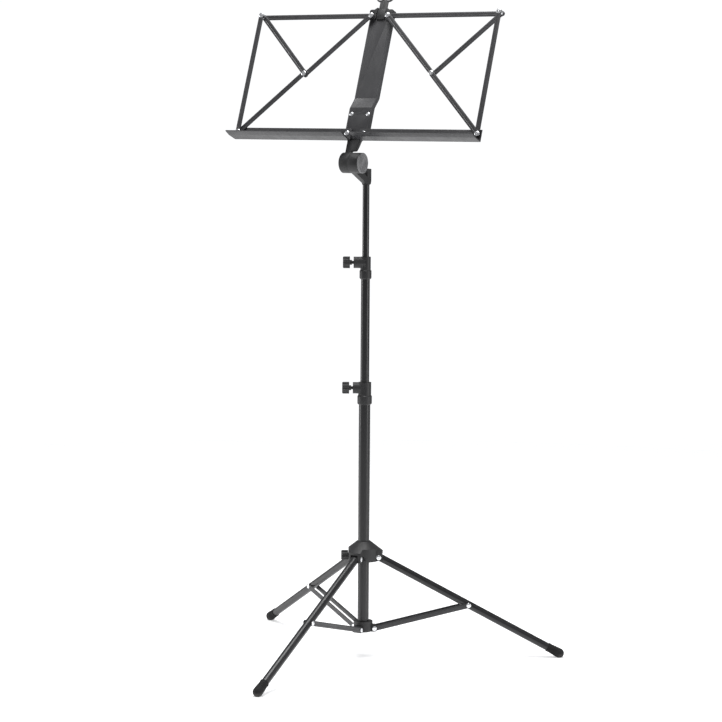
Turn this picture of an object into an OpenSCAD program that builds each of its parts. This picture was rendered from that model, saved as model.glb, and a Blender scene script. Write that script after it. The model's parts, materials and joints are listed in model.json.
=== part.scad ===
// Folding music stand: open strip desk, tilt joint, three-piece column and
// folding tripod. Origin on the floor under the column, +Z up, +X to the
// musician's right, +Y away from the musician.

/* [Column] */
// outside diameter of the lower tube
lower_tube_d = 22; // [18:0.5:28]
// outside diameter of the middle tube
middle_tube_d = 17; // [14:0.5:20]
// outside diameter of the upper tube
upper_tube_d = 13; // [10:0.5:14]
// wall of all three tubes
tube_wall = 1.2; // [0.8:0.1:1.6]
// height of the lower tube's bottom end
lower_tube_z = 52; // [50:1:56]
// height of the middle tube's bottom end
middle_tube_z = 250; // [240:1:300]
// height of the upper tube's bottom end
upper_tube_z = 480; // [440:1:520]
// height of the bottom of the lower clamp
lower_clamp_z = 493; // [485:1:525]
// height of the bottom of the upper clamp
upper_clamp_z = 735; // [700:1:760]
// height of a clamp, from its skirt to its top
clamp_h = 43; // [36:1:50]
// height of the wide skirt of a clamp
clamp_skirt_h = 18; // [12:1:22]
// wall of a clamp around the outer tube
clamp_wall = 3; // [2:0.5:4]
// direction in which all three thumb screws point
screw_azimuth = 210; // [0:5:355]

/* [Thumb screws] */
// diameter of the knob
knob_d = 23; // [18:1:28]
// thickness of the knob
knob_t = 13.5; // [10:0.5:18]
// distance from the column axis to the inner face of the knob
knob_r = 30; // [28:1:36]
// diameter of the screw
screw_d = 6; // [4:0.5:8]
// length of the plain neck under each knob
neck_l = 4; // [3:0.5:5]
// distance from the column axis to the end of the screw boss
boss_r = 23; // [21:0.5:26]
// diameter of the screw boss
boss_d = 22; // [16:1:23]

// diameter of the knob on the leg hub
hub_knob_d = 19; // [16:1:22]

/* [Tripod] */
// distance from the column axis to a foot
foot_r = 382; // [340:1:420]
// height of the leg's centre line at the foot
foot_z = 8; // [7:0.5:9]
// distance from the column axis to a leg's upper pivot
leg_pivot_r = 29; // [27:0.5:32]
// height of the legs' upper pivots
leg_pivot_z = 196; // [180:1:215]
// distance from a leg's upper pivot to its strut's pivot
leg_strut_at = 199; // [180:1:220]
// distance from the column axis to a strut's lower pivot
strut_pivot_r = 22; // [20:0.5:24]
// height of the struts' lower pivots
strut_pivot_z = 56; // [50:1:62]
// outside diameter of a leg tube
leg_d = 15; // [12:0.5:18]
// width of a strut strip
strut_w = 10; // [8:0.5:12]
// thickness of a strut strip
strut_t = 1.5; // [1:0.1:2]
// outside radius of the leg hub at its lobes
leg_hub_r = 37.5; // [35:0.5:42]
// outside radius of the base hub
base_hub_r = 18.5; // [16:0.5:20]
// radius of a rubber foot
foot_tip_r = 9.5; // [9:0.5:12]

/* [Desk] */
// lean of the desk behind the vertical
desk_tilt = 20.5; // [10:0.5:30]
// distance between the pivots of a desk arm
arm_l = 243; // [200:1:280]
// distance from the middle of the desk to its four inner pivots
pivot_x = 18; // [15:0.5:22]
// position of the lower inner pivots in front of the column axis
desk_y = -30.7; // [-45:0.1:-25]
// height of the lower inner pivots
desk_z = 1009; // [980:1:1040]
// width of a desk strip
strip_w = 10; // [9:0.5:13]
// thickness of a desk strip
strip_t = 1.8; // [1.2:0.1:2.2]
// diameter of the rivets of the desk and the tripod
rivet_d = 5; // [4:0.5:6]
// diameter of a rivet's head
rivet_head_d = 10; // [8:0.5:11]
// width of the flat face of the spine
spine_w = 45; // [42:1:56]
// thickness of the spine's sheet
spine_t = 1.6; // [1:0.1:2]
// width of the spine's edges, which are bent back
spine_edge = 5; // [3:0.5:8]
// distance by which the lower plate stands in front of the upper plate
spine_jog = 10.5; // [10:0.1:12]

/* [Ledge] */
// depth of the ledge in front of its flange
ledge_depth = 38; // [30:1:50]
// thickness of the ledge's sheet
ledge_t = 1.8; // [1.2:0.1:2.2]
// height of the flange above its pivots
flange_up = 9.5; // [8:0.5:12]
// distance from the pivots down to the underside of the ledge
ledge_drop = 14; // [12:0.5:16]

/* [Tilt joint] */
// diameter of the drum
drum_d = 39; // [34:1:46]
// length of the drum with its cap
drum_l = 44; // [40:1:50]
// position of the drum's axis in front of the column axis
drum_y = -50; // [-55:1:-46]
// height of the drum's axis
drum_z = 958; // [950:1:966]

/* [Page clip] */
// height of a finger loop
loop_h = 26; // [20:1:34]
// thickness of the wire of the finger loops
loop_wire = 4; // [3:0.5:5]
// width over both finger loops
loops_w = 38; // [34:1:42]

/* [Fits] */
// radial clearance of a shank in its pivot
pivot_fit = 0.05; // [0.03:0.01:0.08]
// gap between pieces that pass each other
pass_gap = 0.3; // [0.25:0.05:0.4]

/* [Hidden] */
$fn = 48;
screw_neck_r = screw_d * 0.8;
SIDES = ["left", "right"];
LEGS = ["front", "right", "left"];

black = [0.07, 0.07, 0.08];
dark = [0.12, 0.12, 0.13];
grey = [0.5, 0.5, 0.52];
zinc = [0.78, 0.79, 0.8];
rubber = [0.04, 0.04, 0.04];

rivet_r = rivet_d / 2;
eye_r = rivet_r + pivot_fit;
head_r = rivet_head_d / 2;
head_t = 1.2;
eps = 0.01;

// Column
lower_r = lower_tube_d / 2;
middle_r = middle_tube_d / 2;
upper_r = upper_tube_d / 2;
lower_tube_top = lower_clamp_z + clamp_h - clamp_wall;
middle_tube_top = upper_clamp_z + clamp_h - clamp_wall;
bush_l = 24;
upper_tube_top = drum_z - 42;

// Tripod: every leg lies in a plane through the column axis
LEG_AZIMUTHS = [-90, 30, 150];
leg_fall = atan2(leg_pivot_z - foot_z, foot_r - leg_pivot_r);
leg_l = norm([foot_r - leg_pivot_r, leg_pivot_z - foot_z]);
strut_joint_r = leg_pivot_r + leg_strut_at * cos(leg_fall);
strut_joint_z = leg_pivot_z - leg_strut_at * sin(leg_fall);
strut_rise = atan2(strut_joint_z - strut_pivot_z, strut_joint_r - strut_pivot_r);
strut_l = norm([strut_joint_r - strut_pivot_r, strut_joint_z - strut_pivot_z]);
hub_screw_z = leg_pivot_z + 3;
strut_inner = leg_d / 2 + pass_gap;
slot_half = leg_d / 2 + pass_gap;
ear_t = 5;

// Desk layers: distance in front of the upper plate's face
strip_step = strip_t + pass_gap;
boss_n = 3.1;
top_rail_n = boss_n + pass_gap;
brace_n = top_rail_n + strip_step;
upper_diagonal_n = brace_n + strip_step;
washer_n = spine_jog + head_t;
flange_n = washer_n + pass_gap;
lower_diagonal_n = flange_n + ledge_t + pass_gap;
side_rail_n = lower_diagonal_n + strip_t + head_t + pass_gap;
front_head_n = side_rail_n + strip_step;

// Desk pivots on the right side: across, up
P1 = [pivot_x, arm_l];
P2 = [pivot_x, 0];
CORNER = [pivot_x + arm_l, arm_l];
END = [pivot_x + arm_l, 0];
MIDDLE = [pivot_x + arm_l / 2, arm_l / 2];
jog_low = 53.5;
jog_high = 76;
arm_rivet_v = 40;
arm_t = 6;
arm_back = spine_jog - spine_t - arm_t;
spine_top = arm_l + 12;
spine_bottom = -9;
clip_pin_v = arm_l + 13;
clip_pin_n = -1.6;
stem_top = arm_l + 34;

// Tilt joint, in desk coordinates
drum_v = (drum_y - desk_y) * sin(desk_tilt) + (drum_z - desk_z) * cos(desk_tilt);
drum_n = -(drum_y - desk_y) * cos(desk_tilt) + (drum_z - desk_z) * sin(desk_tilt);
drum_r = drum_d / 2;
drum_half = drum_l / 2;
drum_split = -2.5;
cap_t = 2.8;
bolt_r = 3;

// ---------------------------------------------------------------- shared

// frame of the desk: x across, y up the desk, z towards the musician
module on_desk() {
    translate([0, desk_y, desk_z])
        rotate([90 - desk_tilt, 0, 0])
            children();
}

// the left side of the desk is the mirror image of the right side
module on_side(side) {
    on_desk()
        mirror([side == "left" ? 1 : 0, 0, 0])
            children();
}

// frame of one leg: x outwards, y up, z across the leg
module on_leg(i) {
    rotate([0, 0, LEG_AZIMUTHS[i]])
        rotate([90, 0, 0])
            children();
}

module tube(z0, z1, r, wall) {
    translate([0, 0, z0])
        difference() {
            cylinder(h = z1 - z0, r = r);
            translate([0, 0, -eps])
                cylinder(h = z1 - z0 + 2 * eps, r = r - wall);
        }
}

// low domed head of a rivet, its flat side at z = 0
module rivet_head(r = head_r, t = head_t) {
    cylinder(h = t / 2, r = r);
    translate([0, 0, t / 2])
        cylinder(h = t / 2, r1 = r, r2 = r * 0.7);
}

// rivet along z with a head outside each end
module rivet(z0, z1, r = head_r, t = head_t, back_t = head_t, back_r = head_r) {
    translate([0, 0, z0])
        cylinder(h = z1 - z0, r = rivet_r);
    translate([0, 0, z1])
        rivet_head(r, t);
    translate([0, 0, z0])
        mirror([0, 0, 1])
            rivet_head(min(r, back_r), back_t);
}

// flat strip from the origin along +x, with an eye at each end
// and a pressed groove along its front
module strip(l, w, t, groove = 0.5) {
    groove_w = 2.4;
    groove_start = 14;
    difference() {
        union() {
            translate([0, -w / 2, 0])
                cube([l, w, t]);
            for (x = [0, l])
                translate([x, 0, 0])
                    cylinder(h = t, r = w / 2);
        }
        for (x = [0, l])
            translate([x, 0, -eps])
                cylinder(h = t + 2 * eps, r = eye_r);
        translate([groove_start, -groove_w / 2, t - groove])
            cube([l - 2 * groove_start, groove_w, groove + eps]);
    }
}

// desk strip between two pivots of the right side
module desk_strip(a, b, n) {
    d = b - a;
    translate([a[0], a[1], n])
        rotate([0, 0, atan2(d[1], d[0])])
            strip(norm(d), strip_w, strip_t);
}

// ---------------------------------------------------------------- column

module lower_tube() {
    color(black)
        tube(lower_tube_z, lower_tube_top, lower_r, tube_wall);
}

module middle_tube() {
    color(black)
        tube(middle_tube_z, middle_tube_top, middle_r, tube_wall);
}

module upper_tube() {
    color(black)
        tube(upper_tube_z, upper_tube_top, upper_r, tube_wall);
}

// sleeve on the lower end of an inner tube, which centres it in the outer tube
module bush(z, inner_r, outer_tube_r) {
    bush_r = outer_tube_r - tube_wall - pivot_fit;
    color(dark)
        tube(z, z + bush_l, bush_r, bush_r - inner_r);
}

module middle_bush() {
    bush(middle_tube_z, middle_r, lower_r);
}

module upper_bush() {
    bush(upper_tube_z, upper_r, middle_r);
}

// collar on top of an outer tube: wide skirt, narrower neck, boss for the screw
module clamp(z, outer_r, inner_r) {
    neck_r = outer_r + clamp_wall / 2;
    skirt_r = outer_r + clamp_wall;
    chamfer = 2;
    boss_z = clamp_h - boss_d / 2;
    boss_back = outer_r - clamp_wall;
    color(black)
        translate([0, 0, z])
            difference() {
                union() {
                    cylinder(h = chamfer, r1 = skirt_r - chamfer, r2 = skirt_r);
                    translate([0, 0, chamfer])
                        cylinder(h = clamp_skirt_h - 2 * chamfer, r = skirt_r);
                    translate([0, 0, clamp_skirt_h - chamfer])
                        cylinder(h = chamfer, r1 = skirt_r, r2 = neck_r);
                    translate([0, 0, clamp_skirt_h])
                        cylinder(h = clamp_h - clamp_skirt_h, r = neck_r);
                    rotate([0, 0, screw_azimuth])
                        translate([0, 0, boss_z])
                            rotate([0, 90, 0])
                                cylinder(h = boss_r, r = boss_d / 2);
                }
                // seat of the outer tube, and the passage of the inner tube above it
                translate([0, 0, -eps])
                    cylinder(h = clamp_h - clamp_wall + eps, r = outer_r);
                translate([0, 0, -eps])
                    cylinder(h = clamp_h + 1, r = inner_r + pivot_fit);
                rotate([0, 0, screw_azimuth])
                    translate([0, 0, boss_z])
                        rotate([0, 90, 0])
                            cylinder(h = boss_r + 1, r = screw_d / 2 + pivot_fit);
            }
}

module lower_clamp() {
    clamp(lower_clamp_z, lower_r, middle_r);
}

module upper_clamp() {
    clamp(upper_clamp_z, middle_r, upper_r);
}

// screw with a fluted knob, its axis at height z; its tip stops short of the tube
module thumb_screw(z, tube_r, d = knob_d, t = knob_t) {
    flutes = 8;
    flute_r = 3;
    edge = 1.5;
    tip = tube_r + pass_gap;
    color(black)
        rotate([0, 0, screw_azimuth])
            translate([0, 0, z])
                rotate([0, 90, 0]) {
                    translate([0, 0, tip])
                        cylinder(h = knob_r - tip + 1, r = screw_d / 2);
                    translate([0, 0, knob_r - neck_l])
                        cylinder(h = neck_l, r = screw_neck_r);
                    difference() {
                        union() {
                            translate([0, 0, knob_r])
                                cylinder(h = t - edge, r = d / 2);
                            translate([0, 0, knob_r + t - edge])
                                cylinder(h = edge, r1 = d / 2, r2 = d / 2 - edge);
                        }
                        for (i = [0 : flutes - 1])
                            rotate([0, 0, i * 360 / flutes])
                                translate([d / 2 + 1.2, 0, knob_r - 1])
                                    cylinder(h = t + 2, r = flute_r);
                    }
                }
}

module lower_thumb_screw() {
    thumb_screw(lower_clamp_z + clamp_h - boss_d / 2, lower_r);
}

module upper_thumb_screw() {
    thumb_screw(upper_clamp_z + clamp_h - boss_d / 2, middle_r);
}

// the smaller screw that locks the sliding leg hub on the lower tube
module hub_thumb_screw() {
    thumb_screw(hub_screw_z, lower_r, hub_knob_d, knob_t);
}

// ---------------------------------------------------------------- tripod

// sliding hub: a cone with a lobe for each leg, slotted into two ears
module leg_hub() {
    bottom = leg_pivot_z - 7;
    shoulder = leg_pivot_z + 12;
    cone_top = leg_pivot_z + 31;
    collar_r = lower_r + 2.2;
    body_r = leg_hub_r - 8;
    lobe_half = slot_half + ear_t;
    throat_r = leg_pivot_r - leg_d / 2 - 1;
    head_seat_r = head_r + 1;
    color(black)
        difference() {
            intersection() {
                union() {
                    translate([0, 0, bottom])
                        cylinder(h = shoulder - bottom, r = leg_hub_r);
                    translate([0, 0, shoulder])
                        cylinder(h = cone_top - shoulder, r1 = leg_hub_r, r2 = collar_r);
                }
                union() {
                    cylinder(h = cone_top, r = body_r);
                    for (i = [0 : 2])
                        on_leg(i)
                            translate([0, 0, -lobe_half])
                                cube([2 * leg_hub_r, cone_top, 2 * lobe_half]);
                }
            }
            translate([0, 0, bottom - 1])
                cylinder(h = cone_top - bottom + 2, r = lower_r + pivot_fit);
            for (i = [0 : 2])
                on_leg(i) {
                    translate([throat_r, bottom - 1, -slot_half])
                        cube([leg_hub_r, leg_pivot_z + slot_half - bottom + 1, 2 * slot_half]);
                    translate([leg_pivot_r, leg_pivot_z, -leg_hub_r])
                        cylinder(h = 2 * leg_hub_r, r = rivet_r);
                    // flat seats for the rivet heads
                    for (s = [-1, 1])
                        translate([leg_pivot_r, leg_pivot_z, s * (lobe_half + head_seat_r) - head_seat_r])
                            cylinder(h = 2 * head_seat_r, r = head_seat_r);
                }
            // passage of the hub's thumb screw, with a pocket for its neck
            rotate([0, 0, screw_azimuth])
                translate([0, 0, hub_screw_z])
                    rotate([0, 90, 0]) {
                        cylinder(h = leg_hub_r, r = screw_d / 2 + pivot_fit);
                        translate([0, 0, knob_r - neck_l - pass_gap])
                            cylinder(h = leg_hub_r, r = screw_neck_r + pass_gap);
                    }
        }
}

module leg_hub_rivets() {
    color(zinc)
        for (i = [0 : 2])
            on_leg(i)
                translate([leg_pivot_r, leg_pivot_z, 0])
                    rivet(-slot_half - ear_t, slot_half + ear_t);
}

// hub on the bottom end of the lower tube, with a tongue for each strut
module base_hub() {
    bottom = lower_tube_z - 2.5;
    top = strut_pivot_z + 14;
    tongue_half = leg_d / 2;
    tongue_r = 6.5;
    color(black)
        difference() {
            union() {
                translate([0, 0, bottom])
                    cylinder(h = 2, r1 = base_hub_r - 2, r2 = base_hub_r);
                translate([0, 0, bottom + 2])
                    cylinder(h = top - bottom - 2, r = base_hub_r);
                for (i = [0 : 2])
                    on_leg(i) {
                        translate([strut_pivot_r, strut_pivot_z, -tongue_half])
                            cylinder(h = 2 * tongue_half, r = tongue_r);
                        translate([lower_r + 1, strut_pivot_z - tongue_r, -tongue_half])
                            cube([strut_pivot_r - lower_r - 1, 2 * tongue_r, 2 * tongue_half]);
                    }
            }
            translate([0, 0, lower_tube_z])
                cylinder(h = top, r = lower_r);
            for (i = [0 : 2])
                on_leg(i) {
                    translate([strut_pivot_r, strut_pivot_z, -base_hub_r])
                        cylinder(h = 2 * base_hub_r, r = rivet_r);
                    // room for the strips beside the tongue
                    for (s = [-1, 1])
                        translate([strut_pivot_r, strut_pivot_z,
                                   s * (tongue_half + 3) - 3])
                            cylinder(h = 6, r = strut_w / 2 + 1);
                }
        }
}

module base_hub_rivets() {
    reach = strut_inner + strut_t + pass_gap;
    color(zinc)
        for (i = [0 : 2])
            on_leg(i)
                translate([strut_pivot_r, strut_pivot_z, 0])
                    rivet(-reach, reach, head_r * 0.9);
}

// frame of one leg's own axis: x down the leg from its upper pivot
module along_leg(i) {
    on_leg(i)
        translate([leg_pivot_r, leg_pivot_z, 0])
            rotate([0, 0, -leg_fall])
                children();
}

module leg(i) {
    start = 8;
    color(black)
        along_leg(i)
            difference() {
                translate([start, 0, 0])
                    rotate([0, 90, 0])
                        tube(0, leg_l - start, leg_d / 2, tube_wall);
                translate([leg_strut_at, 0, -leg_d])
                    cylinder(h = 2 * leg_d, r = rivet_r);
            }
}

// moulded end of a leg, turning on the hub's rivet
module leg_plug(i) {
    spigot_l = 20;
    start = 8;
    bore_r = leg_d / 2 - tube_wall;
    color(dark)
        along_leg(i)
            difference() {
                union() {
                    translate([0, 0, -leg_d / 2])
                        cylinder(h = leg_d, r = leg_d / 2);
                    translate([0, 0, 0])
                        rotate([0, 90, 0])
                            cylinder(h = start, r = leg_d / 2);
                    rotate([0, 90, 0])
                        cylinder(h = start + spigot_l, r = bore_r);
                }
                translate([0, 0, -leg_d])
                    cylinder(h = 2 * leg_d, r = eye_r);
            }
}

// rubber boot with a round end, flat where it stands
module foot(i) {
    boot_l = 26;
    boot_r = foot_tip_r - 0.8;
    color(rubber)
        difference() {
            along_leg(i)
                translate([leg_l, 0, 0])
                    rotate([0, 90, 0])
                        rotate_extrude() {
                            polygon([[leg_d / 2, -boot_l], [boot_r, -boot_l],
                                     [foot_tip_r, 0], [leg_d / 2, 0]]);
                            intersection() {
                                circle(r = foot_tip_r);
                                square([foot_tip_r, foot_tip_r]);
                            }
                        }
            translate([-2 * foot_r, -2 * foot_r, -4 * foot_tip_r])
                cube([4 * foot_r, 4 * foot_r, 4 * foot_tip_r]);
        }
}

// a strut is a pair of strips, one on each side of the leg
module strut(i) {
    color(black)
        on_leg(i)
            translate([strut_pivot_r, strut_pivot_z, 0])
                rotate([0, 0, strut_rise]) {
                    translate([0, 0, strut_inner])
                        strip(strut_l, strut_w, strut_t, 0.4);
                    mirror([0, 0, 1])
                        translate([0, 0, strut_inner])
                            strip(strut_l, strut_w, strut_t, 0.4);
                }
}

// ends of the pivot between leg and strut, one in each strip
module strut_rivet(i) {
    color(zinc)
        along_leg(i)
            for (s = [0, 1])
                mirror([0, 0, s])
                    translate([leg_strut_at, 0, strut_inner]) {
                        cylinder(h = strut_t, r = eye_r);
                        translate([0, 0, strut_t])
                            rivet_head(head_r * 0.9);
                    }
}

// ---------------------------------------------------------------- tilt joint

// socket plugged into the upper tube, with a web that carries the right part of the drum
module tilt_socket() {
    web_x0 = drum_split + pass_gap;
    web_x1 = 8;
    drum_x1 = drum_half - cap_t;
    collar_r = upper_r + 1.5;
    collar_h = 6;
    plug_l = 30;
    plug_r = upper_r - tube_wall - pivot_fit;
    web_foot = upper_tube_top + 1;
    web_top = drum_z - 12;
    fin_back = 6;
    color(black)
        difference() {
            union() {
                translate([0, 0, upper_tube_top - plug_l])
                    cylinder(h = plug_l + 1, r = plug_r);
                translate([0, 0, upper_tube_top])
                    cylinder(h = collar_h, r = collar_r);
                // web with a rear fin and a triangular window
                translate([web_x0, 0, 0])
                    rotate([90, 0, 90])
                        linear_extrude(web_x1 - web_x0)
                            difference() {
                                polygon([[drum_y - 4, drum_z - drum_r + 1],
                                         [-collar_r, web_foot],
                                         [4, web_foot],
                                         [fin_back, web_foot + 6],
                                         [fin_back, web_top],
                                         [drum_y + 12, web_top + 3],
                                         [drum_y, drum_z]]);
                                polygon([[-27, web_top - 4],
                                         [-9, web_top - 4],
                                         [-9, web_top - 15]]);
                            }
                translate([web_x0, drum_y, drum_z])
                    rotate([0, 90, 0])
                        cylinder(h = drum_x1 - web_x0, r = drum_r);
            }
            translate([-drum_l, drum_y, drum_z])
                rotate([0, 90, 0])
                    cylinder(h = 2 * drum_l, r = bolt_r);
        }
}

// arm behind the spine's lower plate, ending in the left part of the drum
module tilt_arm() {
    arm_half = 16.5;
    plate_half = 21;
    arm_front = spine_jog - spine_t;
    neck_v = drum_v + drum_r + 2.5;
    left_end = -drum_half;
    color(black)
        difference() {
            union() {
                on_desk()
                    translate([0, 0, arm_front - arm_t])
                        linear_extrude(arm_t)
                            polygon([[-arm_half, -14],
                                     [-plate_half, -8],
                                     [-plate_half, jog_low - 3],
                                     [plate_half, jog_low - 3],
                                     [plate_half, -8],
                                     [12, -12],
                                     [9, -24],
                                     [6, neck_v],
                                     [drum_split - 1, neck_v - 1],
                                     [drum_split - 1, drum_v],
                                     [-arm_half, drum_v]]);
                translate([left_end + 1.5, drum_y, drum_z])
                    rotate([0, 90, 0])
                        cylinder(h = drum_split - left_end - 1.5, r = drum_r);
                translate([left_end, drum_y, drum_z])
                    rotate([0, 90, 0])
                        cylinder(h = 1.5, r1 = drum_r - 1.5, r2 = drum_r);
            }
            translate([-drum_l, drum_y, drum_z])
                rotate([0, 90, 0])
                    cylinder(h = 2 * drum_l, r = bolt_r + pivot_fit);
            // counterbore for the bolt's nut
            translate([left_end - 1, drum_y, drum_z])
                rotate([0, 90, 0])
                    cylinder(h = 6, r = 8);
            on_desk()
                for (x = [-pivot_x, pivot_x], v = [0, arm_rivet_v])
                    translate([x, v, 0])
                        cylinder(h = 2 * spine_jog, r = rivet_r);
        }
}

// cap on the right end of the drum, with two pressed rings
module tilt_cap() {
    color(grey)
        translate([drum_half - cap_t, drum_y, drum_z])
            rotate([0, 90, 0])
                difference() {
                    union() {
                        cylinder(h = cap_t - 1, r = drum_r);
                        translate([0, 0, cap_t - 1])
                            cylinder(h = 1, r1 = drum_r, r2 = drum_r - 1);
                    }
                    for (ring = [8, 13])
                        translate([0, 0, cap_t - 0.8])
                            tube(0, 1, ring + 1, 1);
                    translate([0, 0, -1])
                        cylinder(h = cap_t + 2, r = bolt_r);
                }
}

// bolt through the drum, with a nut in the left counterbore
module tilt_bolt() {
    nut_r = 6.5;
    nut_x = -drum_half + 0.6;
    nut_t = 4;
    color(zinc)
        translate([0, drum_y, drum_z])
            rotate([0, 90, 0]) {
                translate([0, 0, nut_x])
                    cylinder(h = drum_l - 1.4, r = bolt_r);
                translate([0, 0, nut_x])
                    cylinder(h = nut_t, r = nut_r, $fn = 6);
            }
}

// ---------------------------------------------------------------- desk

// cross-section of the spine: flat face with both edges bent back
module spine_section() {
    h = spine_w / 2;
    e = spine_edge;
    t = spine_t;
    polygon([[-h, 0], [h, 0], [h + e, -e], [h + e - t * sin(45), -e - t * sin(45)],
             [h - t * tan(22.5), -t], [-h + t * tan(22.5), -t],
             [-h - e + t * sin(45), -e - t * sin(45)], [-h - e, -e]]);
}

// thin slice of the right bent edge
module spine_edge_slice() {
    h = spine_w / 2;
    e = spine_edge;
    t = spine_t;
    rotate([90, 0, 0])
        linear_extrude(0.1)
            polygon([[h, 0], [h + e, -e], [h + e - t * sin(45), -e - t * sin(45)],
                     [h - t * tan(22.5), -t]]);
}

// sheet spine: upper plate, step forward, lower plate
module spine() {
    holes = [P1, P2, [pivot_x, arm_rivet_v]];
    notch_half = 13.3;
    color(black)
        on_desk()
            difference() {
                union() {
                    translate([0, spine_top, 0])
                        rotate([90, 0, 0])
                            linear_extrude(spine_top - jog_high)
                                spine_section();
                    translate([0, jog_low, spine_jog])
                        rotate([90, 0, 0])
                            linear_extrude(jog_low - spine_bottom)
                                spine_section();
                    rotate([90, 0, 90])
                        translate([0, 0, -spine_w / 2])
                            linear_extrude(spine_w)
                                polygon([[jog_high, 0], [jog_low, spine_jog],
                                         [jog_low, spine_jog - spine_t],
                                         [jog_high - 2, -spine_t], [jog_high, -spine_t]]);
                    for (s = [0, 1])
                        mirror([s, 0, 0])
                            hull() {
                                translate([0, jog_high + 0.1, 0])
                                    spine_edge_slice();
                                translate([0, jog_low, spine_jog])
                                    spine_edge_slice();
                            }
                }
                for (hole = holes, s = [-1, 1])
                    translate([s * hole[0], hole[1], -2 * spine_jog])
                        cylinder(h = 4 * spine_jog, r = rivet_r);
                // notch for the page clip's barrel and pin
                translate([-notch_half, spine_top - 7, -spine_jog])
                    cube([2 * notch_half, spine_jog, 2 * spine_jog]);
            }
}

// the four pivots of the spine: two through the head, two through the lower plate
module spine_pivots() {
    top_head_n = upper_diagonal_n + strip_step;
    low_head_n = flange_n + ledge_t + pass_gap;
    color(zinc)
        on_desk()
            for (s = [-1, 1]) {
                translate([s * P1[0], P1[1], 0]) {
                    rivet(-spine_t, top_head_n, back_r = head_r * 0.7);
                    // spacer in the layer of the short braces
                    translate([0, 0, brace_n])
                        cylinder(h = strip_t, r = head_r * 0.8);
                }
                translate([s * P2[0], P2[1], 0]) {
                    rivet(arm_back, low_head_n);
                    translate([0, 0, spine_jog])
                        cylinder(h = head_t, r = head_r);
                }
            }
}

// rivets that hold the arm to the lower plate
module arm_rivets() {
    color(zinc)
        on_desk()
            for (s = [-1, 1])
                translate([s * pivot_x, arm_rivet_v, 0])
                    rivet(arm_back, spine_jog, head_r * 0.8, head_t - 0.1);
}

// moulded head over the top of the spine, with a boss behind each top rail
module desk_head() {
    head_half = 26;
    ear_end_r = 4;
    dome_r = 24;
    low_v = arm_l + 6;
    ear_v = low_v + 2 * ear_end_r;
    high_v = arm_l + 20;
    back_n = -9;
    well_n = clip_pin_n - 3.8;
    boss_head_r = 8;
    lug_half = 9.3;
    color(black)
        on_desk()
            difference() {
                union() {
                    translate([-head_half + ear_end_r, low_v, back_n])
                        cube([2 * (head_half - ear_end_r), ear_v - low_v, boss_n - back_n]);
                    for (s = [-1, 1])
                        translate([s * (head_half - ear_end_r), low_v + ear_end_r, back_n])
                            cylinder(h = boss_n - back_n, r = ear_end_r);
                    intersection() {
                        translate([0, high_v - dome_r, back_n])
                            cylinder(h = boss_n - back_n, r = dome_r);
                        translate([-dome_r, low_v, back_n])
                            cube([2 * dome_r, dome_r, boss_n - back_n]);
                    }
                    for (s = [-1, 1])
                        translate([s * P1[0], P1[1], 0])
                            cylinder(h = boss_n, r = boss_head_r);
                }
                // the spine's top end sits in a slit
                translate([-spine_w / 2 - 0.02, low_v - 1, -spine_t])
                    cube([spine_w + 0.04, spine_top - low_v + 1, spine_t]);
                for (s = [-1, 1]) {
                    translate([s * (spine_w / 2 + spine_edge) - spine_edge, low_v - 1, back_n - 1])
                        cube([2 * spine_edge, spine_top - low_v + 1, -back_n + 1]);
                    translate([s * P1[0], P1[1], -1])
                        cylinder(h = 2 * boss_n + 1, r = rivet_r);
                }
                // well for the clip
                translate([-lug_half, low_v - 1, well_n])
                    cube([2 * lug_half, high_v - low_v + 2, boss_n - well_n + 1]);
                translate([-head_half, clip_pin_v, clip_pin_n])
                    rotate([0, 90, 0])
                        cylinder(h = 2 * head_half, r = clip_pin_r());
            }
}

function clip_pin_r() = 1.25;

module clip_pin() {
    pin_half = 13;
    color(zinc)
        on_desk()
            translate([-pin_half, clip_pin_v, clip_pin_n])
                rotate([0, 90, 0])
                    cylinder(h = 2 * pin_half, r = clip_pin_r());
}

// clip in two halves on one stem: barrel on the pin, jaw in front, stem above
module page_clip() {
    stem_half = 8.5;
    barrel_r = 3.2;
    jaw_low = arm_l - 6;
    jaw_t = 1.6;
    jaw_n = boss_n - jaw_t - 0.2;
    color(black)
        on_desk()
            difference() {
                union() {
                    translate([-stem_half, clip_pin_v, clip_pin_n])
                        rotate([0, 90, 0])
                            cylinder(h = 2 * stem_half, r = barrel_r);
                    translate([-stem_half, clip_pin_v, clip_pin_n - 1.5])
                        cube([2 * stem_half, stem_top - clip_pin_v, 3]);
                    translate([-stem_half, jaw_low, jaw_n])
                        cube([2 * stem_half, clip_pin_v + 1 - jaw_low, jaw_t]);
                }
                translate([-drum_l, clip_pin_v, clip_pin_n])
                    rotate([0, 90, 0])
                        cylinder(h = 2 * drum_l, r = clip_pin_r() + pivot_fit);
                finger_loop_wires();
                // line that parts the stem's two halves
                translate([-0.4, clip_pin_v + 4, clip_pin_n + 1])
                    cube([0.8, stem_top, 1]);
            }
}

// one closed wire loop, standing on z = 0 in the xz plane
module wire_loop(w, h, wire) {
    bend = w / 2 - wire / 2;
    leg = h - w;
    for (end = [0, 1])
        translate([0, end * leg, 0])
            rotate([0, 0, end * 180])
                rotate([0, 0, 180])
                    rotate_extrude(angle = 180)
                        translate([bend, 0])
                            circle(d = wire);
    for (s = [-1, 1])
        translate([s * bend, 0, 0])
            rotate([-90, 0, 0])
                cylinder(h = leg, d = wire);
}

// both loops in the frame of the desk, their lower bends let into the stem
module finger_loop_wires() {
    loop_w = loops_w / 2 + 1;
    for (s = [-1, 1])
        translate([s * (loops_w - loop_w) / 2, stem_top + loop_w / 2 - loop_wire * 0.8,
                   clip_pin_n])
            wire_loop(loop_w, loop_h, loop_wire);
}

module finger_loops() {
    color(black)
        on_desk()
            finger_loop_wires();
}

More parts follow.
